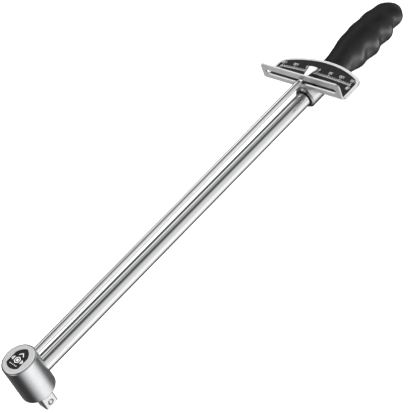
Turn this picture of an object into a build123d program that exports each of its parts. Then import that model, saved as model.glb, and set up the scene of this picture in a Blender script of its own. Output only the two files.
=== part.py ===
"""Beam-type torque wrench with a half-inch square drive.

The head turns the socket, and a long round beam joins it to the handle. When the handle is pulled,
the beam bends, and a straight pointer rod fixed in the head shows how far on a dial near the grip.

Frame: millimetres. The origin is the centre of the square drive's end face, where a socket goes on.
+Z runs up the drive's axis through the head, +X along the beam to the grip, and the dial faces +Z.
"""
from build123d import *
import os
from math import atan2, cos, degrees, pi, radians, sin, sqrt

# ---- driving dimensions (mm) ------------------------------------------------------------------
# square drive and head
drive_side = 12.7            # half-inch square
drive_corner_round = 1.7     # rounding of the square's long edges
drive_end_chamfer = 0.9
neck_radius = 8.2            # round neck between the square and the head
neck_bottom_z = 16.0
head_radius = 15.7
head_bottom_z = 20.5
head_top_z = 60.6
head_top_round = 1.8
head_bottom_round = 1.2

# detent in the drive's -Y face
detent_z = 5.3
detent_ball_radius = 3.175
detent_proud = 1.2           # how far the ball stands out of the face at rest
detent_bore_clearance = 0.08
detent_lip_radius = 2.95     # staked edge that keeps the ball in
detent_lip_depth = 0.3
detent_bore_end_y = 4.85
spring_coil_radius = 2.2
spring_wire_radius = 0.35
spring_pitch = 1.2
spring_end_gap = 0.03

# badge let into the head's top
badge_half_width = 7.9
badge_back_x = -7.0          # where the straight sides end towards the rounded back
badge_shoulder_x = 4.0       # where the straight sides end towards the nose
badge_nose_x = 10.8
badge_cheek = (8.3, 4.7)     # point on each curved side of the nose
badge_back_bulge = 3.0
badge_recess = 1.0
badge_thickness = 0.9
badge_clearance = 0.06

# beam
beam_radius = 7.6
beam_axis_z = 36.3
beam_root_x = -10.0
beam_end_x = 442.0
beam_end_chamfer = 1.0
beam_pin_radius = 2.0
beam_pin_x = 10.6

# pointer
pointer_radius = 3.1
pointer_root_x = 5.4
pointer_pivot_x = 8.0
pointer_root_z = 52.75       # rod axis height at the pivot
pointer_end_x = 369.0        # round stretch ends just in front of the scale lip
pointer_end_z = 55.9
pointer_end_chamfer = 0.5
pointer_pin_radius = 1.5
pointer_pin_clearance = 0.06
pointer_hole_radius = 3.7
pointer_mouth_radius = 4.35
blade_thickness = 1.5
blade_half_width = 2.3
blade_root = 5.0             # how far the blade runs back into the round stretch
fan_start_x = 378.5
fan_corner_x = 391.3
fan_tip_x = 392.0
fan_half_width = 5.0

# handle tube and what it holds
tube_radius = 11.2
tube_bore_radius = 9.6
tube_mouth_x = 368.0
tube_end_x = 486.0
tube_mouth_bevel = 1.8
front_bush_x = (370.6, 386.6)
rear_bush_x = (424.0, 440.0)
handle_pin_x = 432.0
handle_pin_radius = 2.5
handle_pin_sink = 0.4        # how far the pin's ends lie below the tube's surface
plug_length = 8.0
plug_wall = 1.8
plug_floor = 2.0
tube_flat_x = (370.0, 411.4)
tube_flat_depth = 1.0        # flat milled on the tube's top, which the scale plate sits on

# scale plate: a flat dial shelf with its front edge bent up into a slotted lip
sheet = 1.7
lip_front_x = 370.0
lip_top_z = 64.7
lip_half_width = 48.6
lip_corner_round = 4.0
plate_half_width = 50.0
plate_rear_x = 410.6
plate_rear_radius = 103.0
plate_corner_round = 11.0
plate_front_round = 1.2
bend_inner_radius = 1.3
slot_half_length = 43.5
slot_height = 5.3
slot_z = 55.85
face_thickness = 0.4
face_margin = 3.1            # bare metal edge left around the black face
face_front_x = 373.4
face_corner_round = 8.5

# fixings of the scale plate
bracket_x = (376.0, 392.0)
bracket_outer_y = 12.0
bracket_depth = 7.0
bracket_chamfer = 1.0
screw_x = 378.0
screw_y = 9.6
screw_radius = 1.5
screw_head_radius = 2.6
screw_head_height = 1.7
screw_head_round = 0.7
screw_slot = (0.8, 0.7)      # width and depth
screw_length = 4.4
rivet_x = 385.0
rivet_y = 43.4
rivet_head_radius = 2.4
rivet_head_height = 0.9
rivet_shank_radius = 1.2
rivet_tail_radius = 1.9
rivet_tail_height = 0.6

# grip: elliptical sections along X, fuller on the -Y side where the fingers lie
grip_front_x = 412.0
grip_tail_x = 518.1
grip_bore_end_x = 487.0
grip_front_round = 0.8
finger_pitch = 22.0
first_knuckle_x = 440.0
knuckles_start_x = 426.0
knuckle_height = 0.6
knuckle_growth = 0.007       # added height per millimetre towards the tail
palm_ripple = 0.7           # share of the knuckles' height felt on the palm side
top_ripple = 0.3             # and on top and bottom
section_gap = 5.5
tail_gaps = (11.5, 8.0, 5.0, 2.8, 1.3, 0.4, 0.05)
# start, place and size of the widest section, and how squarely the tail is rounded
palm_side = (12.2, 466.5, 16.0, 5.8)
finger_side = (13.2, 465.2, 18.8, 4.9)
top_and_bottom = (12.8, 448.5, 19.3, 2.3)

# ---- worked-out sizes -------------------------------------------------------------------------
plate_bottom_z = beam_axis_z + tube_radius - tube_flat_depth
plate_top_z = plate_bottom_z + sheet
face_top_z = plate_top_z + face_thickness
ball_y = -drive_side / 2 - detent_proud + detent_ball_radius
pointer_pitch = degrees(atan2(pointer_end_z - pointer_root_z, pointer_end_x - pointer_pivot_x))

LOW = (Align.CENTER, Align.CENTER, Align.MIN)


def rod_x(radius, x0, x1, y=0.0, z=beam_axis_z):
    """Round bar along X from x0 to x1."""
    return Pos(x0, y, z) * Rot(0, 90, 0) * Cylinder(radius, x1 - x0, align=LOW)


def rod_y(radius, y0, y1, x=0.0, z=0.0):
    """Round bar along Y from y0 to y1."""
    return Pos(x, y0, z) * Rot(-90, 0, 0) * Cylinder(radius, y1 - y0, align=LOW)


def rod_z(radius, z0, z1, x=0.0, y=0.0):
    """Round bar along Z from z0 to z1."""
    return Pos(x, y, z0) * Cylinder(radius, z1 - z0, align=LOW)


def block(x, y, z):
    """Box between the given pairs of limits."""
    middle = Pos(sum(x) / 2, sum(y) / 2, sum(z) / 2)
    return middle * Box(x[1] - x[0], y[1] - y[0], z[1] - z[0])


# ---- head and detent --------------------------------------------------------------------------
def badge_outline():
    """Shield with a rounded back and its nose towards the beam."""
    half = badge_half_width
    back = badge_back_x
    cheek_x, cheek_y = badge_cheek
    with BuildSketch() as shield:
        with BuildLine():
            Line((back, half), (badge_shoulder_x, half))
            ThreePointArc((badge_shoulder_x, half), (cheek_x, cheek_y), (badge_nose_x, 0))
            ThreePointArc((badge_nose_x, 0), (cheek_x, -cheek_y), (badge_shoulder_x, -half))
            Line((badge_shoulder_x, -half), (back, -half))
            ThreePointArc((back, -half), (back - badge_back_bulge, 0), (back, half))
        make_face()
    return shield.sketch


def make_drive_head():
    """Forged head: a round boss with the square drive below and the beam's bore from the side."""
    boss = rod_z(head_radius, head_bottom_z, head_top_z)
    rims = boss.edges().filter_by(GeomType.CIRCLE).sort_by(Axis.Z)
    boss = fillet(rims[-1], head_top_round)
    boss = fillet(boss.edges().filter_by(GeomType.CIRCLE).sort_by(Axis.Z)[0], head_bottom_round)

    half = drive_side / 2
    square = block((-half, half), (-half, half), (0, head_bottom_z + 1))
    square = fillet(square.edges().filter_by(Axis.Z), drive_corner_round)
    square = chamfer(square.faces().sort_by(Axis.Z)[0].edges(), drive_end_chamfer)
    head = boss + square + rod_z(neck_radius, neck_bottom_z, head_bottom_z + 1)

    head -= rod_x(beam_radius, beam_root_x, head_radius + 1)
    head -= rod_z(beam_pin_radius, head_bottom_z - 1, beam_axis_z, x=beam_pin_x)
    head -= Pos(0, 0, head_top_z - badge_recess) * extrude(badge_outline(), badge_recess + 1)
    head -= pointer_socket()
    head -= rod_z(pointer_pin_radius, pointer_pin_z()[0], head_top_z, x=pointer_pivot_x)
    head -= detent_bore()
    return head


def pointer_socket():
    """Hole for the pointer's root, opening out towards +X so that the rod can swing in it."""
    straight = rod_x(pointer_hole_radius, pointer_root_x - 0.5, pointer_pivot_x + 0.5, z=pointer_root_z)
    length = head_radius + 1 - pointer_pivot_x
    mouth = Cone(pointer_hole_radius, pointer_mouth_radius, length, align=LOW)
    return straight + Pos(pointer_pivot_x, 0, pointer_root_z) * Rot(0, 90, 0) * mouth


def pointer_pin_z():
    """Lower and upper end of the pin that holds the pointer's root, under the badge."""
    return (beam_axis_z + beam_radius + 2.6, head_top_z - badge_recess - 0.1)


def detent_bore():
    """Blind bore for the ball and its spring, with the mouth staked in to hold the ball."""
    face_y = -drive_side / 2
    bore_radius = detent_ball_radius + detent_bore_clearance
    bore = rod_y(bore_radius, face_y + detent_lip_depth, detent_bore_end_y, z=detent_z)
    return bore + rod_y(detent_lip_radius, face_y - 1, face_y + 1, z=detent_z)


def make_detent_ball():
    return Pos(0, ball_y, detent_z) * Sphere(detent_ball_radius)


def make_detent_spring():
    """Coil spring from the ball's back to the end of its bore."""
    reach = detent_ball_radius + spring_wire_radius
    start_y = ball_y + sqrt(reach ** 2 - spring_coil_radius ** 2) + 2 * spring_end_gap
    end_y = detent_bore_end_y - spring_wire_radius - spring_end_gap
    coil = Helix(spring_pitch, end_y - start_y, spring_coil_radius)
    wire = Plane(origin=coil @ 0, z_dir=coil % 0) * Circle(spring_wire_radius)
    return Pos(0, start_y, detent_z) * Rot(-90, 0, 0) * sweep(wire, path=coil)


def make_head_badge():
    outline = offset(badge_outline(), -badge_clearance, kind=Kind.INTERSECTION)
    return Pos(0, 0, head_top_z - badge_recess) * extrude(outline, badge_thickness)


# ---- beam -------------------------------------------------------------------------------------
def make_beam():
    """Round spring-steel bar, drilled for its pin in the head and for the handle's pin."""
    bar = rod_x(beam_radius, beam_root_x, beam_end_x)
    bar = chamfer(bar.edges().filter_by(GeomType.CIRCLE).sort_by(Axis.X)[-1], beam_end_chamfer)
    bar -= rod_z(beam_pin_radius, beam_axis_z - beam_radius - 1, beam_axis_z, x=beam_pin_x)
    return bar - rod_z(handle_pin_radius, 0, 2 * beam_axis_z, x=handle_pin_x)


def make_beam_pin():
    """Dowel from the head's underside into the beam."""
    return rod_z(beam_pin_radius, head_bottom_z + 0.6, beam_axis_z, x=beam_pin_x)


# ---- pointer ----------------------------------------------------------------------------------
def make_pointer():
    """Round rod, flattened to a thin blade where it passes the lip, ending in a fan over the dial."""
    length = (pointer_end_x - pointer_root_x) / cos(radians(pointer_pitch))
    rod = Cylinder(pointer_radius, length, align=LOW)
    rod = chamfer(rod.edges().filter_by(GeomType.CIRCLE), pointer_end_chamfer)
    behind = pointer_root_x - pointer_pivot_x
    root_z = pointer_root_z + behind * sin(radians(pointer_pitch))
    rod = Pos(pointer_root_x, 0, root_z) * Rot(0, 90 - pointer_pitch, 0) * rod

    blade_x = pointer_end_x - blade_root
    blade = Pos(0, 0, pointer_end_z) * extrude(blade_outline(blade_x), blade_thickness / 2, both=True)
    hole = rod_z(pointer_pin_radius + pointer_pin_clearance, 0, 2 * head_top_z, x=pointer_pivot_x)
    return rod + blade - hole


def blade_outline(start_x):
    """Straight strip from start_x that flares into a fan with a rounded tip."""
    with BuildSketch() as blade:
        with BuildLine():
            Line((start_x, blade_half_width), (start_x, -blade_half_width))
            Line((start_x, -blade_half_width), (fan_start_x, -blade_half_width))
            Line((fan_start_x, -blade_half_width), (fan_corner_x, -fan_half_width))
            ThreePointArc((fan_corner_x, -fan_half_width), (fan_tip_x, 0), (fan_corner_x, fan_half_width))
            Line((fan_corner_x, fan_half_width), (fan_start_x, blade_half_width))
            Line((fan_start_x, blade_half_width), (start_x, blade_half_width))
        make_face()
    return blade.sketch


def make_pointer_pin():
    low, high = pointer_pin_z()
    return rod_z(pointer_pin_radius, low, high, x=pointer_pivot_x)


# ---- handle tube ------------------------------------------------------------------------------
def make_handle_tube():
    """Tube that carries dial and grip, with a bevelled mouth and a flat for the scale plate."""
    tube = rod_x(tube_radius, tube_mouth_x, tube_end_x)
    mouth = tube.edges().filter_by(GeomType.CIRCLE).sort_by(Axis.X)[0]
    bevel_depth = tube_radius - tube_bore_radius - 0.15
    tube = chamfer(mouth, bevel_depth, tube_mouth_bevel, reference=tube.faces().sort_by(Axis.X)[0])
    tube -= rod_x(tube_bore_radius, tube_mouth_x - 1, tube_end_x + 1)
    flat_z = (plate_bottom_z, plate_bottom_z + tube_radius)
    tube -= block(tube_flat_x, (-tube_radius, tube_radius), flat_z)
    return tube - rod_z(handle_pin_radius, 0, 2 * beam_axis_z, x=handle_pin_x)


def make_bush(x):
    """Sleeve that fills the gap between beam and tube."""
    sleeve = rod_x(tube_bore_radius, *x) - rod_x(beam_radius, x[0] - 1, x[1] + 1)
    return sleeve - rod_z(handle_pin_radius, 0, 2 * beam_axis_z, x=handle_pin_x)


def make_handle_pin():
    """Pin through tube, rear bush and beam, ending just below the tube's surface."""
    reach = tube_radius - handle_pin_sink
    return rod_z(handle_pin_radius, beam_axis_z - reach, beam_axis_z + reach, x=handle_pin_x)


def make_tube_plug():
    """Cup-shaped plastic plug in the tube's open end."""
    plug = rod_x(tube_bore_radius, tube_end_x - plug_length, tube_end_x)
    hollow = rod_x(tube_bore_radius - plug_wall, tube_end_x - plug_length - 1, tube_end_x - plug_floor)
    return plug - hollow


# ---- scale plate and dial ---------------------------------------------------------------------
def dial_outline(front_x, inset, rear_round):
    """D-shaped outline: straight front, parallel sides, and a wide arc at the rear."""
    half = plate_half_width - inset
    radius = plate_rear_radius - inset
    rear_x = plate_rear_x - inset
    side_x = rear_x - radius + sqrt(radius ** 2 - half ** 2)
    with BuildSketch() as outline:
        with BuildLine():
            Line((front_x, half), (front_x, -half))
            Line((front_x, -half), (side_x, -half))
            ThreePointArc((side_x, -half), (rear_x, 0), (side_x, half))
            Line((side_x, half), (front_x, half))
        make_face()
        fillet(outline.vertices().group_by(Axis.X)[1], rear_round)
        fillet(outline.vertices().group_by(Axis.X)[0], plate_front_round)
    return outline.sketch


def make_scale_plate():
    """Dial shelf and upright lip bent from one sheet, with the pointer's slot in the lip."""
    bend_outer = bend_inner_radius + sheet
    shelf_x = lip_front_x + bend_outer
    shelf = extrude(dial_outline(shelf_x, 0, plate_corner_round), sheet)
    shelf = Pos(0, 0, plate_bottom_z) * shelf

    y = (-lip_half_width, lip_half_width)
    lip = block((lip_front_x, lip_front_x + sheet), y, (plate_bottom_z + bend_outer, lip_top_z))
    upper = lip.faces().sort_by(Axis.Z)[-1].edges().filter_by(Axis.X)
    lip = fillet(upper, lip_corner_round)

    elbow = Cylinder(bend_outer, 2 * lip_half_width) - Cylinder(bend_inner_radius, 3 * lip_half_width)
    elbow = Pos(shelf_x, 0, plate_bottom_z + bend_outer) * Rot(90, 0, 0) * elbow
    elbow &= block((lip_front_x - 1, shelf_x), y, (plate_bottom_z - 1, plate_bottom_z + bend_outer))

    plate = shelf + lip + elbow
    slot = SlotOverall(2 * slot_half_length, slot_height)
    cutter = extrude(Plane.YZ * slot, 10, both=True)
    plate -= Pos(lip_front_x, 0, slot_z) * cutter
    for x, y, radius in fixing_holes():
        plate -= rod_z(radius, plate_bottom_z - 1, plate_top_z + 1, x, y)
    return plate


def fixing_holes():
    """Centre and radius of each hole through the shelf: two screws and two rivets."""
    holes = []
    for side in (-1, 1):
        holes.append((screw_x, side * screw_y, screw_radius))
        holes.append((rivet_x, side * rivet_y, rivet_shank_radius))
    return holes


def make_dial_face():
    """Thin black face glued and riveted to the shelf, leaving a bright metal edge around it."""
    face = extrude(dial_outline(face_front_x, face_margin, face_corner_round), face_thickness)
    face = Pos(0, 0, plate_top_z) * face
    for x, y, radius in fixing_holes():
        face -= rod_z(radius, plate_top_z - 1, plate_top_z + 1, x, y)
    return face


def make_dial_rivets():
    """Two low round-headed rivets at the front corners of the dial."""
    rivets = []
    dome = (rivet_head_radius ** 2 + rivet_head_height ** 2) / (2 * rivet_head_height)
    for side in (-1, 1):
        ball = Pos(0, 0, rivet_head_height - dome) * Sphere(dome)
        head = ball & Cylinder(rivet_head_radius + 1, rivet_head_height + 1, align=LOW)
        grip_length = sheet + face_thickness
        shank = rod_z(rivet_shank_radius, -grip_length, 0.1)
        tail = rod_z(rivet_tail_radius, -grip_length - rivet_tail_height, -grip_length)
        rivets.append(Pos(rivet_x, side * rivet_y, face_top_z) * (head + shank + tail))
    return Compound(children=rivets)


def make_scale_bracket(side):
    """Block brazed on one side of the tube, flush with the flat, with a tapped hole for its screw."""
    z = (plate_bottom_z - bracket_depth, plate_bottom_z)
    y = (0, bracket_outer_y) if side > 0 else (-bracket_outer_y, 0)
    bracket = block(bracket_x, y, z)
    outer_edge = bracket.edges().filter_by(Axis.X).group_by(Axis.Z)[0].sort_by(Axis.Y)[-1 if side > 0 else 0]
    bracket = chamfer(outer_edge, bracket_chamfer)
    bracket -= rod_x(tube_radius, bracket_x[0] - 1, bracket_x[1] + 1)
    return bracket - rod_z(screw_radius, z[0] - 1, z[1] + 1, screw_x, side * screw_y)


def make_scale_screws():
    """Two slotted pan-head screws that hold the shelf to its brackets."""
    screws = []
    for side in (-1, 1):
        head = Cylinder(screw_head_radius, screw_head_height, align=LOW)
        head = fillet(head.edges().sort_by(Axis.Z)[-1], screw_head_round)
        slot_width, slot_depth = screw_slot
        head -= Pos(0, 0, screw_head_height) * Box(3 * screw_head_radius, slot_width, 2 * slot_depth)
        shank = Pos(0, 0, -screw_length) * Cylinder(screw_radius, screw_length, align=LOW)
        screws.append(Pos(screw_x, side * screw_y, face_top_z) * (head + shank))
    return Compound(children=screws)


# ---- grip -------------------------------------------------------------------------------------
def swell(x, start, peak_x, peak, tail_power):
    """Half width that rises smoothly from start to its peak, then rounds off to the tail."""
    if x < peak_x:
        share = (x - grip_front_x) / (peak_x - grip_front_x)
        return start + (peak - start) * (1 - cos(share * pi)) / 2
    share = (x - peak_x) / (grip_tail_x - peak_x)
    return peak * sqrt(1 - share ** tail_power)


def ease(share):
    """Smooth step from 0 to 1."""
    share = min(1.0, max(0.0, share))
    return share * share * (3 - 2 * share)


def knuckle(x):
    """Height of the wave that makes the knuckles and the finger hollows between them."""
    height = knuckle_height + knuckle_growth * (x - first_knuckle_x)
    height *= ease((x - knuckles_start_x) / finger_pitch)
    height *= ease((grip_tail_x - x) / (finger_pitch / 2))
    return height * cos(2 * pi * (x - first_knuckle_x) / finger_pitch)


def grip_section(x):
    """Ellipse of the grip at x, wider towards -Y where the fingers lie."""
    wave = knuckle(x)
    palm = swell(x, *palm_side) + palm_ripple * wave
    fingers = swell(x, *finger_side) + wave
    half_height = swell(x, *top_and_bottom) + top_ripple * wave
    middle = (x, (palm - fingers) / 2, beam_axis_z)
    seat = Plane(origin=middle, x_dir=(0, 1, 0), z_dir=(1, 0, 0))
    return seat * Ellipse((palm + fingers) / 2, half_height)


def make_grip():
    """Moulded grip, closed and rounded at the tail, pushed over the tube."""
    last_gap = tail_gaps[0] + section_gap / 2
    places = []
    x = grip_front_x
    while x < grip_tail_x - last_gap:
        places.append(x)
        x += section_gap
    places += [grip_tail_x - gap for gap in tail_gaps]
    body = loft([grip_section(x) for x in places])
    body = fillet(body.faces().sort_by(Axis.X)[0].edges(), grip_front_round)
    return body - rod_x(tube_radius, grip_front_x - 1, grip_bore_end_x)


# ---- every node -------------------------------------------------------------------------------
PARTS = {
    "drive_head": make_drive_head,
    "detent_ball": make_detent_ball,
    "detent_spring": make_detent_spring,
    "head_badge": make_head_badge,
    "beam": make_beam,
    "beam_pin": make_beam_pin,
    "pointer": make_pointer,
    "pointer_pin": make_pointer_pin,
    "handle_tube": make_handle_tube,
    "front_bush": lambda: make_bush(front_bush_x),
    "rear_bush": lambda: make_bush(rear_bush_x),
    "handle_pin": make_handle_pin,
    "tube_plug": make_tube_plug,
    "scale_plate": make_scale_plate,
    "scale_bracket_left": lambda: make_scale_bracket(1),
    "scale_bracket_right": lambda: make_scale_bracket(-1),
    "scale_screws": make_scale_screws,
    "dial_face": make_dial_face,
    "dial_rivets": make_dial_rivets,
    "grip": make_grip,
}

os.makedirs("parts", exist_ok=True)
for name, make in PARTS.items():
    export_step(make(), f"parts/{name}.step")
    print("wrote", name)
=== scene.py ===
"""Looks of the beam torque wrench: finishes of its pieces, dial print, head ornament, light and camera.

Everything is in metres in the wrench's own frame: the origin is the square drive's end face, +Z runs
up the drive's axis, +X along the beam to the grip, and the dial faces +Z.
"""

from math import cos, degrees, pi, radians, sin

import bmesh
import bpy
from mathutils import Matrix, Vector
from mathutils.bvhtree import BVHTree


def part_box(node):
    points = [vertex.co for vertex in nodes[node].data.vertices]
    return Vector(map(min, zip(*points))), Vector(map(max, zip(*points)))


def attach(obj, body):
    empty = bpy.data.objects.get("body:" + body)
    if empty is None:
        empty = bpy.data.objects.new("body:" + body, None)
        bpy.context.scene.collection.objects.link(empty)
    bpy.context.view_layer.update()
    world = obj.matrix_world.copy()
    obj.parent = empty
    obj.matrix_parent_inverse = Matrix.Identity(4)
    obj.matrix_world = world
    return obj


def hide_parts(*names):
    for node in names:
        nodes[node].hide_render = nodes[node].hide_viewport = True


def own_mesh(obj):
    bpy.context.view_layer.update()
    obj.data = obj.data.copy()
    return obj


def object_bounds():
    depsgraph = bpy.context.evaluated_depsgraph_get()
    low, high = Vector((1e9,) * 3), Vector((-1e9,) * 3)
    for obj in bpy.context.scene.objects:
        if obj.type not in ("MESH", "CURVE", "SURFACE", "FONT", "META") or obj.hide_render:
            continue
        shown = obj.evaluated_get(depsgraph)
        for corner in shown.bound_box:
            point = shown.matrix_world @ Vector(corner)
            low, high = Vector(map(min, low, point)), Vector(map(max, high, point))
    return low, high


MM = 0.001

# ---- camera -------------------------------------------------------------------------------------
CAMERA_PLACE = Vector((-0.16790, -0.65568, 0.67976))
CAMERA_TARGET = Vector((0.21458, -0.00569, 0.03666))
CAMERA_ROLL = 24.683          # degrees, clockwise as the camera sees it
CAMERA_LENS = 96.72           # millimetres, as the sensor's width
SENSOR_WIDTH = 36.0

# ---- studio -------------------------------------------------------------------------------------
FLOOR_HALF = 30.0
FLOOR_GLOW = 0.62             # light that comes through the white table
# Tone of the studio round the wrench's long axis: degrees from the -Y side up over the top, and tone
STUDIO_BANDS = (
    (-180, 0.12),
    (-140, 0.15),
    (-100, 0.03),
    (-84, 0.06),
    (-72, 0.25),
    (-60, 0.70),
    (-40, 1.16),
    (-30, 1.16),
    (-8, 1.04),
    (5, 0.80),
    (30, 0.76),
    (47, 0.62),
    (58, 0.20),
    (72, 0.05),
    (84, 0.14),
    (98, 0.62),
    (116, 0.92),
    (134, 0.95),
    (143, 0.30),
    (152, 0.07),
    (180, 0.10),
)
# Towards the wrench's two ends the bands fade to an even tone: lengthwise share, weight and tone
STUDIO_ENDS = (
    (-1.00, 1.00, 0.60),
    (-0.94, 1.00, 0.40),
    (-0.86, 1.00, 0.05),
    (-0.72, 0.80, 0.04),
    (-0.50, 0.40, 0.04),
    (-0.20, 0.08, 0.04),
    (0.05, 0.00, 0.10),
    (0.45, 0.00, 0.16),
    (0.80, 0.90, 0.16),
    (0.92, 1.00, 0.35),
    (1.00, 1.00, 0.55),
)

# ---- dial print ---------------------------------------------------------------------------------
DIAL_ARC_RADIUS = 391.0 * MM
DIAL_ARC_WIDTH = 0.5 * MM
DIAL_ARC_SEGMENTS = 96
DIAL_REACH = 6.4              # degrees each side of zero
DIAL_STEP = 0.206             # degrees between the finest marks
FINE_MARK = (1.5 * MM, 0.45 * MM)     # length and width
MIDDLE_MARK = (2.4 * MM, 0.55 * MM)
LONG_MARK = (3.6 * MM, 0.75 * MM)
MARKS_PER_MIDDLE = 2
MARKS_PER_LONG = 10
NUMBER_RADIUS = 397.3 * MM
NUMBER_HEIGHT = 3.1 * MM
NUMBER_WEIGHT = 0.05 * MM     # how much each stroke is fattened on either side
NUMBER_PER_LONG = 50
CAPITAL_SHARE = 0.72          # height of a figure as a share of the built-in font's size
CURVE_STEPS = 6
INK_THICKNESS = 0.05 * MM


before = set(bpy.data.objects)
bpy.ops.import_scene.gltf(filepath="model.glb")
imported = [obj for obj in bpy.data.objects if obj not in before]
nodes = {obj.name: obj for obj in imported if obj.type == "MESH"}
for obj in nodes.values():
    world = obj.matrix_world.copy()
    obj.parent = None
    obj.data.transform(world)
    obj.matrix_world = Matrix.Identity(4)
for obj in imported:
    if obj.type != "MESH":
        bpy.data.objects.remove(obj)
cad_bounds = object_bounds()


# ---- mesh helpers -------------------------------------------------------------------------------
def new_piece(name, mesh_builder, body, material):
    """Makes a mesh object, gives it a finish, and lets it ride on a body."""
    mesh = bpy.data.meshes.new(name)
    mesh_builder.normal_update()
    mesh_builder.to_mesh(mesh)
    mesh_builder.free()
    piece = bpy.data.objects.new(name, mesh)
    bpy.context.scene.collection.objects.link(piece)
    mesh.materials.append(material)
    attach(piece, body)
    return piece


def add_slab(builder, outline, low, high):
    """Closed slab over an outline of (x, y) points, between two heights."""
    bottom = [builder.verts.new((x, y, low)) for x, y in outline]
    top = [builder.verts.new((x, y, high)) for x, y in outline]
    count = len(outline)
    builder.faces.new(top)
    builder.faces.new(list(reversed(bottom)))
    for i in range(count):
        j = (i + 1) % count
        builder.faces.new((bottom[i], bottom[j], top[j], top[i]))


def add_ring_slab(builder, inner, outer, low, high, closed=True):
    """Slab between two outlines with the same number of points. An open one is a strip with ends."""
    rows = []
    for outline, z in ((inner, low), (outer, low), (outer, high), (inner, high)):
        rows.append([builder.verts.new((x, y, z)) for x, y in outline])
    count = len(inner)
    steps = count if closed else count - 1
    for i in range(steps):
        j = (i + 1) % count
        for row, following in zip(rows, rows[1:] + rows[:1]):
            builder.faces.new((row[i], row[j], following[j], following[i]))
    if not closed:
        builder.faces.new([row[0] for row in rows])
        builder.faces.new([row[-1] for row in reversed(rows)])
    bmesh.ops.recalc_face_normals(builder, faces=builder.faces)


def polar(radius, angle, centre=(0.0, 0.0)):
    """Point at a radius and an angle in degrees, from +X towards +Y."""
    return (centre[0] + radius * cos(radians(angle)), centre[1] + radius * sin(radians(angle)))


# ---- shader helpers -----------------------------------------------------------------------------
NOISE_LOW = 0.3               # nearly all of a noise texture lies between these two
NOISE_HIGH = 0.7


class NodeTree:
    """Short calls for the shader nodes that the finishes and the studio share."""

    def __init__(self, tree):
        self.tree = tree

    def add(self, kind):
        return self.tree.nodes.new(kind)

    def link(self, start, end):
        self.tree.links.new(start, end)

    def math(self, operation, first, second):
        """Result of an operation on two outputs or numbers."""
        node = self.add("ShaderNodeMath")
        node.operation = operation
        for socket, value in zip(node.inputs, (first, second)):
            if isinstance(value, (int, float)):
                socket.default_value = value
            else:
                self.link(value, socket)
        return node.outputs["Value"]

    def rescale(self, value, from_low, from_high, to_low=0.0, to_high=1.0):
        """Moves a value from one range to another and keeps it inside."""
        node = self.add("ShaderNodeMapRange")
        node.inputs["From Min"].default_value = from_low
        node.inputs["From Max"].default_value = from_high
        node.inputs["To Min"].default_value = to_low
        node.inputs["To Max"].default_value = to_high
        self.link(value, node.inputs["Value"])
        return node.outputs["Result"]

    def ramp(self, factor, stops):
        """Colour ramp over (position, colour or grey) stops."""
        node = self.add("ShaderNodeValToRGB")
        elements = node.color_ramp.elements
        while len(elements) < len(stops):
            elements.new(0.5)
        for element, (position, colour) in zip(elements, stops):
            element.position = position
            rgb = colour if isinstance(colour, tuple) else (colour, colour, colour)
            element.color = (*rgb, 1.0)
        self.link(factor, node.inputs["Fac"])
        return node.outputs["Color"]


class Finish(NodeTree):
    """A Principled material with short calls for the textures that drive it."""

    def __init__(self, name, **values):
        self.material = bpy.data.materials.new(name)
        self.material.use_nodes = True
        super().__init__(self.material.node_tree)
        self.shader = self.tree.nodes["Principled BSDF"]
        for socket, value in values.items():
            self.shader.inputs[socket.replace("_", " ")].default_value = value
        self.coordinates = self.add("ShaderNodeTexCoord")

    def place(self, stretch=(1.0, 1.0, 1.0)):
        """Coordinates in the wrench's frame, where a factor under 1 draws a texture out."""
        mapping = self.add("ShaderNodeMapping")
        mapping.inputs["Scale"].default_value = stretch
        self.link(self.coordinates.outputs["Object"], mapping.inputs["Vector"])
        return mapping.outputs["Vector"]

    def noise(self, size, detail=3.0, roughness=0.5, stretch=(1.0, 1.0, 1.0)):
        """Cloudy texture whose features are about size across, in metres."""
        texture = self.add("ShaderNodeTexNoise")
        texture.inputs["Scale"].default_value = 1.0 / size
        texture.inputs["Detail"].default_value = detail
        texture.inputs["Roughness"].default_value = roughness
        self.link(self.place(stretch), texture.inputs["Vector"])
        return texture.outputs["Fac"]

    def cells(self, size, feature="F1"):
        """Distance in a pattern of irregular cells of about this size."""
        texture = self.add("ShaderNodeTexVoronoi")
        texture.feature = feature
        texture.inputs["Scale"].default_value = 1.0 / size
        self.link(self.place(), texture.inputs["Vector"])
        return texture.outputs["Distance"]

    def shade(self, texture, dark, light, low=NOISE_LOW, high=NOISE_HIGH):
        """Colours the surface from dark, where the texture is at low, to light, where it is at high."""
        self.link(self.ramp(texture, ((low, dark), (high, light))), self.shader.inputs["Base Color"])

    def span(self, texture, low, high):
        """Spreads a texture over the range from low to high."""
        return self.rescale(texture, NOISE_LOW, NOISE_HIGH, low, high)

    def roughness(self, output):
        self.link(output, self.shader.inputs["Roughness"])

    def bump(self, height, depth):
        """Adds a bump of this depth in metres over any bump that is there already."""
        node = self.add("ShaderNodeBump")
        node.inputs["Distance"].default_value = depth
        node.inputs["Strength"].default_value = 1.0
        self.link(height, node.inputs["Height"])
        normal = self.shader.inputs["Normal"]
        if normal.is_linked:
            self.link(normal.links[0].from_socket, node.inputs["Normal"])
        self.link(node.outputs["Normal"], normal)


# ---- finishes -----------------------------------------------------------------------------------
def chromed_forging():
    """Bright chrome over a forged and linished head: soft orange peel and a few faint scratches."""
    finish = Finish("chromed_forging", Metallic=1.0)
    clouds = finish.noise(9 * MM, detail=4)
    finish.shade(clouds, (0.79, 0.80, 0.82), (0.86, 0.865, 0.87))
    finish.roughness(finish.span(finish.noise(2.5 * MM, detail=5, roughness=0.7), 0.14, 0.24))
    finish.bump(finish.noise(1.6 * MM, detail=2), 0.006 * MM)
    finish.bump(finish.noise(0.35 * MM, detail=2, stretch=(1, 1, 0.15)), 0.0015 * MM)
    return finish.material


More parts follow.
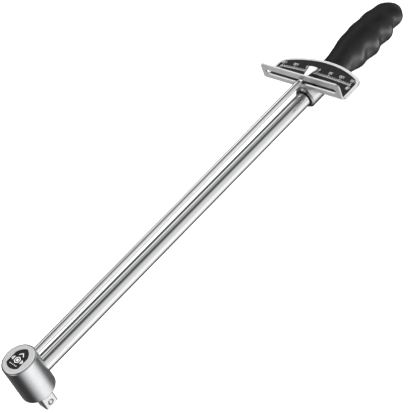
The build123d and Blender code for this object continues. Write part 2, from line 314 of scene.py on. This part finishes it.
def chromed_bar():
    """Chrome over a ground round bar: mirror bands with fine lengthwise polishing lines."""
    finish = Finish("chromed_bar", Metallic=1.0)
    lines = finish.noise(1.1 * MM, detail=3, stretch=(0.02, 1, 1))
    finish.shade(lines, (0.82, 0.825, 0.83), (0.88, 0.88, 0.885))
    finish.roughness(finish.span(finish.noise(7 * MM, detail=5, roughness=0.7), 0.07, 0.15))
    finish.bump(lines, 0.004 * MM)
    return finish.material


def chromed_rod():
    """Satin chrome of the pointer: drawn rod with fine rings left by its straightening."""
    finish = Finish("chromed_rod", Metallic=1.0)
    rings = finish.noise(0.9 * MM, detail=2, stretch=(1, 0.25, 0.25))
    finish.shade(rings, (0.78, 0.785, 0.79), (0.88, 0.88, 0.885))
    finish.roughness(finish.span(finish.noise(5 * MM, detail=4), 0.09, 0.17))
    finish.bump(rings, 0.004 * MM)
    return finish.material


def chromed_tubing():
    """Bright chrome of the handle's tube, a little softer than the beam."""
    finish = Finish("chromed_tubing", Metallic=1.0)
    lines = finish.noise(1.4 * MM, detail=3, stretch=(0.03, 1, 1))
    finish.shade(lines, (0.80, 0.80, 0.81), (0.87, 0.87, 0.875))
    finish.roughness(finish.span(finish.noise(6 * MM, detail=5, roughness=0.7), 0.12, 0.22))
    finish.bump(finish.noise(1.2 * MM, detail=2), 0.003 * MM)
    return finish.material


def satin_plate():
    """Satin nickel over sheet steel, brushed across the wrench, as on the scale plate."""
    finish = Finish("satin_plate", Metallic=1.0)
    brushed = finish.noise(0.5 * MM, detail=4, roughness=0.65, stretch=(1, 0.04, 1))
    clouds = finish.noise(14 * MM, detail=4)
    finish.shade(clouds, (0.80, 0.805, 0.81), (0.88, 0.88, 0.885))
    finish.roughness(finish.span(brushed, 0.30, 0.42))
    finish.bump(brushed, 0.006 * MM)
    return finish.material


def dial_paint():
    """Black stoved paint of the dial: nearly even, with fine dust-like grain."""
    finish = Finish("dial_paint", Specular_IOR_Level=0.16)
    grain = finish.noise(0.5 * MM, detail=4, roughness=0.7)
    finish.shade(grain, 0.011, 0.022)
    finish.roughness(finish.span(finish.noise(6 * MM, detail=4), 0.42, 0.58))
    finish.bump(grain, 0.01 * MM)
    return finish.material


def dial_ink():
    """Off-white screen-printed ink, thin in places."""
    finish = Finish("dial_ink")
    wear = finish.noise(0.8 * MM, detail=4, roughness=0.7)
    finish.shade(wear, 0.34, 0.62, low=0.28, high=0.6)
    finish.roughness(finish.span(wear, 0.5, 0.7))
    return finish.material


def badge_enamel():
    """Glossy black enamel of the head's badge, with a trace of orange peel."""
    finish = Finish("badge_enamel", Specular_IOR_Level=0.2)
    clouds = finish.noise(1.2 * MM, detail=4)
    finish.shade(clouds, 0.006, 0.016)
    finish.roughness(finish.span(clouds, 0.28, 0.4))
    finish.bump(finish.noise(0.7 * MM, detail=2), 0.004 * MM)
    return finish.material


def badge_ink():
    """Raised white enamel of the badge's ornament."""
    finish = Finish("badge_ink")
    clouds = finish.noise(1.0 * MM, detail=4)
    finish.shade(clouds, 0.66, 0.86)
    finish.roughness(finish.span(clouds, 0.3, 0.5))
    return finish.material


def grip_rubber():
    """Black moulded vinyl with a fine leathery grain and a slightly worn, smoother top."""
    finish = Finish("grip_rubber", Specular_IOR_Level=0.34)
    grain = finish.cells(0.55 * MM, "SMOOTH_F1")
    clouds = finish.noise(11 * MM, detail=5, roughness=0.6)
    wear = finish.add("ShaderNodeAttribute")
    wear.attribute_name = "wear"
    finish.shade(clouds, (0.004, 0.004, 0.0045), (0.008, 0.008, 0.009))
    worn = finish.math("MULTIPLY", wear.outputs["Fac"], -0.16)
    finish.roughness(finish.math("ADD", finish.span(clouds, 0.44, 0.54), worn))
    finish.bump(grain, 0.03 * MM)
    finish.bump(finish.noise(3.0 * MM, detail=3), 0.05 * MM)
    return finish.material


def bare_steel():
    """Dull machined steel inside the wrench: turned and a little stained."""
    finish = Finish("bare_steel", Metallic=1.0)
    stains = finish.noise(5 * MM, detail=5, roughness=0.7)
    finish.shade(stains, (0.30, 0.29, 0.28), (0.45, 0.45, 0.45))
    finish.roughness(finish.span(stains, 0.3, 0.5))
    finish.bump(finish.noise(0.4 * MM, detail=2), 0.008 * MM)
    return finish.material


def polished_ball():
    """Hardened bearing ball, polished to a mirror with hairline handling marks."""
    finish = Finish("polished_ball", Metallic=1.0)
    marks = finish.noise(0.6 * MM, detail=5, roughness=0.7)
    finish.shade(marks, (0.84, 0.84, 0.85), (0.90, 0.90, 0.91))
    finish.roughness(finish.span(marks, 0.04, 0.10))
    return finish.material


def spring_wire():
    """Drawn spring wire with a dark oiled surface."""
    finish = Finish("spring_wire", Metallic=1.0)
    oil = finish.noise(0.8 * MM, detail=4)
    finish.shade(oil, (0.20, 0.19, 0.18), (0.36, 0.35, 0.34))
    finish.roughness(finish.span(oil, 0.25, 0.4))
    return finish.material


def sintered_bush():
    """Grey sintered sleeve with open pores."""
    finish = Finish("sintered_bush", Metallic=1.0)
    pores = finish.cells(0.5 * MM)
    finish.shade(pores, (0.16, 0.15, 0.14), (0.36, 0.35, 0.33), low=0.1, high=0.5)
    finish.roughness(finish.span(finish.noise(3 * MM), 0.45, 0.6))
    finish.bump(pores, 0.02 * MM)
    return finish.material


def moulded_plastic():
    """Black injection-moulded plug with a matt spark-eroded texture."""
    finish = Finish("moulded_plastic", Specular_IOR_Level=0.4)
    grain = finish.noise(0.3 * MM, detail=3, roughness=0.7)
    finish.shade(grain, 0.012, 0.024)
    finish.roughness(finish.span(grain, 0.45, 0.6))
    finish.bump(grain, 0.02 * MM)
    return finish.material


def blackened_screw():
    """Black-oxidised screw with turning marks on its head."""
    finish = Finish("blackened_screw", Metallic=1.0)
    clouds = finish.noise(1.0 * MM, detail=4)
    finish.shade(clouds, (0.020, 0.020, 0.022), (0.045, 0.045, 0.05))
    finish.roughness(finish.span(clouds, 0.3, 0.45))
    finish.bump(finish.noise(0.25 * MM, detail=2), 0.004 * MM)
    return finish.material


def rivet_aluminium():
    """Pale aluminium rivet with a peened surface."""
    finish = Finish("rivet_aluminium", Metallic=1.0)
    dents = finish.cells(0.9 * MM, "SMOOTH_F1")
    finish.shade(dents, 0.80, 0.92, low=0.2, high=0.8)
    finish.roughness(finish.span(finish.noise(0.7 * MM, detail=4), 0.3, 0.45))
    finish.bump(dents, 0.02 * MM)
    return finish.material


def table_white():
    """White glowing table: a pale diffuser with an almost unseen mottle."""
    finish = Finish("table_white", Roughness=0.9, Specular_IOR_Level=0.0)
    mottle = finish.noise(60 * MM, detail=3)
    finish.shade(mottle, 0.86, 0.90)
    finish.shader.inputs["Emission Color"].default_value = (1.0, 1.0, 1.0, 1.0)
    finish.shader.inputs["Emission Strength"].default_value = FLOOR_GLOW
    return finish.material


# ---- dressing the CAD nodes ---------------------------------------------------------------------
def dress(material, *names):
    """Gives the named CAD nodes this finish."""
    for name in names:
        nodes[name].material_slots[0].material = material


def dress_wrench():
    """Gives every CAD node but the grip, which has a cover of its own, its finish."""
    dress(chromed_forging(), "drive_head")
    dress(polished_ball(), "detent_ball")
    dress(spring_wire(), "detent_spring")
    dress(badge_enamel(), "head_badge")
    dress(chromed_bar(), "beam")
    dress(chromed_rod(), "pointer")
    dress(bare_steel(), "beam_pin", "pointer_pin", "handle_pin")
    dress(chromed_tubing(), "handle_tube", "scale_bracket_left", "scale_bracket_right")
    dress(sintered_bush(), "front_bush", "rear_bush")
    dress(moulded_plastic(), "tube_plug")
    dress(satin_plate(), "scale_plate")
    dress(dial_paint(), "dial_face")
    dress(rivet_aluminium(), "dial_rivets")
    dress(blackened_screw(), "scale_screws")


# ---- dial print ---------------------------------------------------------------------------------
def dial_marks():
    """(angle, is_long, is_middle) of every mark, from one end of the dial to the other."""
    reach = int(DIAL_REACH / DIAL_STEP)
    for count in range(-reach, reach + 1):
        yield count * DIAL_STEP, count % MARKS_PER_LONG == 0, count % MARKS_PER_MIDDLE == 0


def print_scale(face_z, ink):
    """The scale's arc with its marks, all radial from the head's axis."""
    low, high = face_z, face_z + INK_THICKNESS
    arc = bmesh.new()
    step = 2 * DIAL_REACH / DIAL_ARC_SEGMENTS
    angles = [-DIAL_REACH + step * i for i in range(DIAL_ARC_SEGMENTS + 1)]
    inner = [polar(DIAL_ARC_RADIUS - DIAL_ARC_WIDTH, a) for a in angles]
    outer = [polar(DIAL_ARC_RADIUS, a) for a in angles]
    add_ring_slab(arc, inner, outer, low, high, closed=False)
    new_piece("dial_arc", arc, "frame", ink)

    marks = bmesh.new()
    for angle, is_long, is_middle in dial_marks():
        length, width = LONG_MARK if is_long else MIDDLE_MARK if is_middle else FINE_MARK
        half = degrees(width / 2 / DIAL_ARC_RADIUS)
        corners = [
            polar(DIAL_ARC_RADIUS, angle - half),
            polar(DIAL_ARC_RADIUS + length, angle - half),
            polar(DIAL_ARC_RADIUS + length, angle + half),
            polar(DIAL_ARC_RADIUS, angle + half),
        ]
        add_slab(marks, corners, low, high)
    new_piece("dial_marks", marks, "frame", ink)


def text_mesh(text, height):
    """Outlines of a text as a thin solid, centred on the origin and reading along +X."""
    curve = bpy.data.curves.new("number", "FONT")
    curve.body = text
    curve.size = height / CAPITAL_SHARE
    curve.align_x = "CENTER"
    curve.align_y = "CENTER"
    curve.resolution_u = CURVE_STEPS
    curve.offset = NUMBER_WEIGHT
    curve.extrude = INK_THICKNESS / 2
    holder = bpy.data.objects.new("number", curve)
    bpy.context.scene.collection.objects.link(holder)
    graph = bpy.context.evaluated_depsgraph_get()
    mesh = bpy.data.meshes.new_from_object(holder.evaluated_get(graph))
    bpy.data.objects.remove(holder)
    bpy.data.curves.remove(curve)
    return mesh


def print_numbers(face_z, ink):
    """Numbers past the long marks, upright for someone who holds the grip."""
    numbers = bmesh.new()
    for angle, is_long, _ in dial_marks():
        if not is_long:
            continue
        value = abs(round(angle / DIAL_STEP / MARKS_PER_LONG)) * NUMBER_PER_LONG
        mesh = text_mesh(str(value), NUMBER_HEIGHT)
        x, y = polar(NUMBER_RADIUS, angle)
        turn = Matrix.Rotation(radians(90 + angle), 4, "Z")
        mesh.transform(Matrix.Translation((x, y, face_z + INK_THICKNESS / 2)) @ turn)
        numbers.from_mesh(mesh)
        bpy.data.meshes.remove(mesh)
    new_piece("dial_numbers", numbers, "frame", ink)


# ---- grip ---------------------------------------------------------------------------------------
FINGER_PITCH = 22.0 * MM
FIRST_KNUCKLE_X = 440.0 * MM
LAST_KNUCKLE_X = 506.0 * MM
HOLLOW_DEPTH = 3.0 * MM
HOLLOW_MIDDLE = -15.0         # degrees above the -Y side
HOLLOW_SPREAD = 27.0          # degrees from there to where a hollow is half as deep
GRIP_ROW = 0.8 * MM           # from one ring of points to the next
GRIP_SIDES = 120
GRIP_DOME = 11.0 * MM         # length of the rounded tail
GRIP_DOME_ROWS = 20
GRIP_BORE_RADIUS = 11.2 * MM
GRIP_BORE_PAST_TUBE = 1.0 * MM
FRONT_GAP = 0.02 * MM         # from the grip's front face to the first ring
WALL_GAP = 0.05 * MM          # from the bore's wall to where a ray starts


def finger_wave(x):
    """1 in the middle of a finger hollow, 0 on the crest of a knuckle."""
    return 0.5 - 0.5 * cos(2 * pi * (x - FIRST_KNUCKLE_X) / FINGER_PITCH)


def smooth_step(share):
    """0 up to a share of 0, 1 from a share of 1, and a soft rise between."""
    share = min(1.0, max(0.0, share))
    return share * share * (3 - 2 * share)


def finger_share(x, angle):
    """How far a point lies in the row of finger hollows: along the grip, and round it."""
    start = smooth_step((x - FIRST_KNUCKLE_X + FINGER_PITCH) / FINGER_PITCH)
    end = smooth_step((LAST_KNUCKLE_X - x) / (FINGER_PITCH / 2))
    around = (angle - HOLLOW_MIDDLE + 180) % 360 - 180
    return start * end * 2 ** -((around / HOLLOW_SPREAD) ** 2)


def grip_casts(front_x, dome_x):
    """(x on the axis, lean to the tail in degrees) of every ring of rays, from front to tail."""
    rows = round((dome_x - front_x) / GRIP_ROW)
    barrel = [(front_x + (dome_x - front_x) * (i / rows), 0.0) for i in range(rows + 1)]
    dome = [(dome_x, 90.0 * i / GRIP_DOME_ROWS) for i in range(1, GRIP_DOME_ROWS)]
    return barrel + dome


def outer_ring(skin, wear, tree, centre, lean, start):
    """Ring of points on the CAD grip's surface, pressed in where the fingers lie."""
    ring = []
    side = cos(radians(lean))
    for i in range(GRIP_SIDES):
        angle = 360.0 * i / GRIP_SIDES
        ray = Vector((sin(radians(lean)), -cos(radians(angle)) * side, sin(radians(angle)) * side))
        place = tree.ray_cast(centre + ray * start, ray)[0]
        share = finger_share(place.x, angle)
        wave = finger_wave(place.x)
        vertex = skin.verts.new(place - ray * HOLLOW_DEPTH * share * wave)
        vertex[wear] = share * (1 - wave)
        ring.append(vertex)
    return ring


def bore_ring(skin, x, axis_z):
    """Ring of points on the wall of the grip's bore."""
    ring = []
    for i in range(GRIP_SIDES):
        y, z = polar(GRIP_BORE_RADIUS, 360.0 * i / GRIP_SIDES)
        ring.append(skin.verts.new((x, -y, axis_z + z)))
    return ring


def join_rings(skin, rings, tip):
    """Smooth skin over rings of points, closed flat over the first ring and round to the tip."""
    for ring, following in zip(rings, rings[1:]):
        for i in range(GRIP_SIDES):
            j = (i + 1) % GRIP_SIDES
            skin.faces.new((ring[i], ring[j], following[j], following[i]))
    last = rings[-1]
    for i in range(GRIP_SIDES):
        skin.faces.new((last[i], last[(i + 1) % GRIP_SIDES], tip))
    skin.faces.new(rings[0])
    bmesh.ops.recalc_face_normals(skin, faces=skin.faces)
    for face in skin.faces:
        face.smooth = True


def grip_skin(material):
    """The moulded grip with its finger hollows pressed in, closed, with the bore for the tube."""
    source = bmesh.new()
    source.from_mesh(nodes["grip"].data)
    tree = BVHTree.FromBMesh(source)
    source.free()
    low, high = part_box("grip")
    beam_low, beam_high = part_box("beam")
    axis_z = (beam_low.z + beam_high.z) / 2
    bore_end_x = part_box("handle_tube")[1].x + GRIP_BORE_PAST_TUBE
    dome_x = high.x - GRIP_DOME

    skin = bmesh.new()
    wear = skin.verts.layers.float.new("wear")
    rings = []
    for x, lean in grip_casts(low.x + FRONT_GAP, dome_x):
        start = GRIP_BORE_RADIUS + WALL_GAP if x < bore_end_x + GRIP_ROW else 0
        rings.append(outer_ring(skin, wear, tree, Vector((x, 0, axis_z)), lean, start))
    tip = skin.verts.new(tree.ray_cast(Vector((dome_x, 0, axis_z)), Vector((1, 0, 0)))[0])
    bore = [bore_ring(skin, x, axis_z) for x in (bore_end_x, low.x)]
    join_rings(skin, bore + rings, tip)
    piece = new_piece("grip_cover", skin, "frame", material)
    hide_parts("grip")


# ---- badge ornament -----------------------------------------------------------------------------
HEXAGON_RADIUS = 3.3 * MM
HEXAGON_LINE = 0.95 * MM
SQUARE_HALF = 1.15 * MM
WING_BARS = (                 # near side, far side and length of the bars beside the hexagon
    (4.5 * MM, 5.6 * MM, 3.6 * MM),
    (6.1 * MM, 6.9 * MM, 2.2 * MM),
)
DOT_COUNT = 5
DOT_PITCH = 2.0 * MM
DOT_RADIUS = 0.5 * MM
DOT_SIDES = 12
DOT_ROW_X = -6.0 * MM
CHEVRON_END_X = 4.0 * MM
CHEVRON_TIP_X = 6.6 * MM
CHEVRON_HALF = 3.0 * MM
CHEVRON_LINE = 1.1 * MM
ORNAMENT_X = -1.0 * MM
ORNAMENT_HEIGHT = 0.06 * MM


def regular(sides, radius, centre):
    """Corners of a regular polygon."""
    return [polar(radius, 360 * i / sides, centre) for i in range(sides)]


def add_bar(builder, x_limits, y_limits, low, high):
    """Slab over a rectangle."""
    (left, right), (near, far) = x_limits, y_limits
    add_slab(builder, [(left, near), (right, near), (right, far), (left, far)], low, high)


def ornament(badge_z, ink):
    """A hexagon with a square in it between short bars, a row of dots behind, and a chevron ahead."""
    low, high = badge_z, badge_z + ORNAMENT_HEIGHT
    centre = (ORNAMENT_X, 0.0)
    shape = bmesh.new()
    inner = regular(6, HEXAGON_RADIUS - HEXAGON_LINE, centre)
    outer = regular(6, HEXAGON_RADIUS, centre)
    add_ring_slab(shape, inner, outer, low, high)
    square_x = (ORNAMENT_X - SQUARE_HALF, ORNAMENT_X + SQUARE_HALF)
    add_bar(shape, square_x, (-SQUARE_HALF, SQUARE_HALF), low, high)
    for near, far, length in WING_BARS:
        bar_x = (ORNAMENT_X - length / 2, ORNAMENT_X + length / 2)
        add_bar(shape, bar_x, (near, far), low, high)
        add_bar(shape, bar_x, (-far, -near), low, high)
    for i in range(DOT_COUNT):
        y = (i - (DOT_COUNT - 1) / 2) * DOT_PITCH
        add_slab(shape, regular(DOT_SIDES, DOT_RADIUS, (DOT_ROW_X, y)), low, high)
    chevron_outer = [(CHEVRON_END_X, -CHEVRON_HALF), (CHEVRON_TIP_X, 0), (CHEVRON_END_X, CHEVRON_HALF)]
    chevron_inner = [(x - CHEVRON_LINE, y) for x, y in chevron_outer]
    add_ring_slab(shape, chevron_inner, chevron_outer, low, high, closed=False)
    new_piece("badge_ornament", shape, "frame", ink)


# ---- studio -------------------------------------------------------------------------------------
def light_studio():
    """Bands of light and shade that run along the wrench and fade to an even tone at its two ends."""
    world = bpy.data.worlds.new("studio")
    bpy.context.scene.world = world
    world.use_nodes = True
    studio = NodeTree(world.node_tree)

    split = studio.add("ShaderNodeSeparateXYZ")
    studio.link(studio.add("ShaderNodeTexCoord").outputs["Generated"], split.inputs["Vector"])
    away = studio.math("MULTIPLY", split.outputs["Y"], -1.0)
    turn = studio.rescale(studio.math("ARCTAN2", split.outputs["Z"], away), -pi, pi)
    bands = studio.ramp(turn, [((angle + 180) / 360, tone) for angle, tone in STUDIO_BANDS])

    along = studio.rescale(split.outputs["X"], -1.0, 1.0)
    weight = studio.ramp(along, [((x + 1) / 2, share) for x, share, _ in STUDIO_ENDS])
    ends = studio.ramp(along, [((x + 1) / 2, tone) for x, _, tone in STUDIO_ENDS])

    mix = studio.add("ShaderNodeMixRGB")
    studio.link(weight, mix.inputs["Fac"])
    studio.link(bands, mix.inputs["Color1"])
    studio.link(ends, mix.inputs["Color2"])
    studio.link(mix.outputs["Color"], studio.tree.nodes["Background"].inputs["Color"])


def soft_box(name, aim, way, size, power):
    """Area light that stands off from the point it is aimed at. It isn't seen in the chrome."""
    data = bpy.data.lights.new(name, "AREA")
    data.shape = "RECTANGLE"
    data.size, data.size_y = size
    data.energy = power
    lamp = bpy.data.objects.new(name, data)
    bpy.context.scene.collection.objects.link(lamp)
    lamp.location = aim + Vector(way)
    lamp.rotation_euler = (-Vector(way)).to_track_quat("-Z", "Y").to_euler()
    lamp.visible_glossy = False
    return lamp


def kick_box(name, aim, way, size, power, lit):
    """Soft light for the named pieces alone, seen in their gloss but not by the camera."""
    lamp = soft_box(name, aim, way, size, power)
    lamp.visible_glossy = True
    lamp.visible_camera = False
    receivers = bpy.data.collections.new(name)
    for piece in lit:
        receivers.objects.link(bpy.data.objects[piece])
    lamp.light_linking.receiver_collection = receivers


def light_boxes():
    """Two large boxes for everything, and small ones for the lip, for the dial and for the grip."""
    middle = (cad_bounds[0] + cad_bounds[1]) / 2
    soft_box("top_box", middle, way=(0, 0, 2.2), size=(3.0, 3.0), power=60)
    soft_box("front_box", middle, way=(-0.6, -2.2, 1.2), size=(2.0, 1.2), power=25)

    plate_low, plate_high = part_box("scale_plate")
    lip = Vector((plate_low.x, 0, (plate_low.z + plate_high.z) / 2))
    kick_box("lip_box", lip, way=(-0.23, 0.39, -0.39), size=(0.5, 0.5), power=0.33, lit=("scale_plate",))

    dial = Vector((plate_high.x, 0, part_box("dial_face")[1].z))
    dial_way = (0.4632, 0.7860, 0.7788)
    dial_pieces = ("scale_plate", "pointer", "dial_rivets")
    kick_box("dial_box", dial, way=dial_way, size=(0.7, 0.7), power=0.8, lit=dial_pieces)

    grip_low, grip_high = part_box("grip")
    shift = Vector((0.336, 0, 0))         # towards the tail, so that the camera sees it in the knuckles
    grip = (grip_low + grip_high) / 2 + shift
    grip_way = (0, -0.624, -0.500)
    kick_box("grip_box", grip, way=grip_way, size=(1.2, 0.4), power=8.0, lit=("grip_cover",))


def lay_floor():
    """Large white table at the height of the wrench's lowest point."""
    near, far = -FLOOR_HALF, FLOOR_HALF
    builder = bmesh.new()
    corners = [(near, near), (far, near), (far, far), (near, far)]
    builder.faces.new([builder.verts.new((x, y, 0)) for x, y in corners])
    mesh = bpy.data.meshes.new("floor")
    builder.to_mesh(mesh)
    builder.free()
    floor = bpy.data.objects.new("floor", mesh)
    bpy.context.scene.collection.objects.link(floor)
    mesh.materials.append(table_white())
    floor.location.z = cad_bounds[0].z
    floor.visible_glossy = False
    floor.visible_shadow = False


def place_camera():
    """Camera aimed at its target and rolled about its own line of sight."""
    data = bpy.data.cameras.new("camera")
    data.sensor_width = SENSOR_WIDTH
    data.lens = CAMERA_LENS
    camera = bpy.data.objects.new("camera", data)
    bpy.context.scene.collection.objects.link(camera)
    aim = (CAMERA_TARGET - CAMERA_PLACE).to_track_quat("-Z", "Y").to_matrix().to_4x4()
    roll = Matrix.Rotation(radians(-CAMERA_ROLL), 4, "Z")
    camera.matrix_world = Matrix.Translation(CAMERA_PLACE) @ aim @ roll
    bpy.context.scene.camera = camera


def shorten_spring():
    """Gives the detent's spring a mesh of its own."""
    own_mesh(nodes["detent_spring"])


place_camera()
bpy.context.scene.view_settings.view_transform = "Standard"
dress_wrench()
white_ink = dial_ink()
dial_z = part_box("dial_face")[1].z
print_scale(dial_z, white_ink)
print_numbers(dial_z, white_ink)
ornament(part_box("head_badge")[1].z, badge_ink())
grip_skin(grip_rubber())
light_studio()
light_boxes()
lay_floor()
shorten_spring()
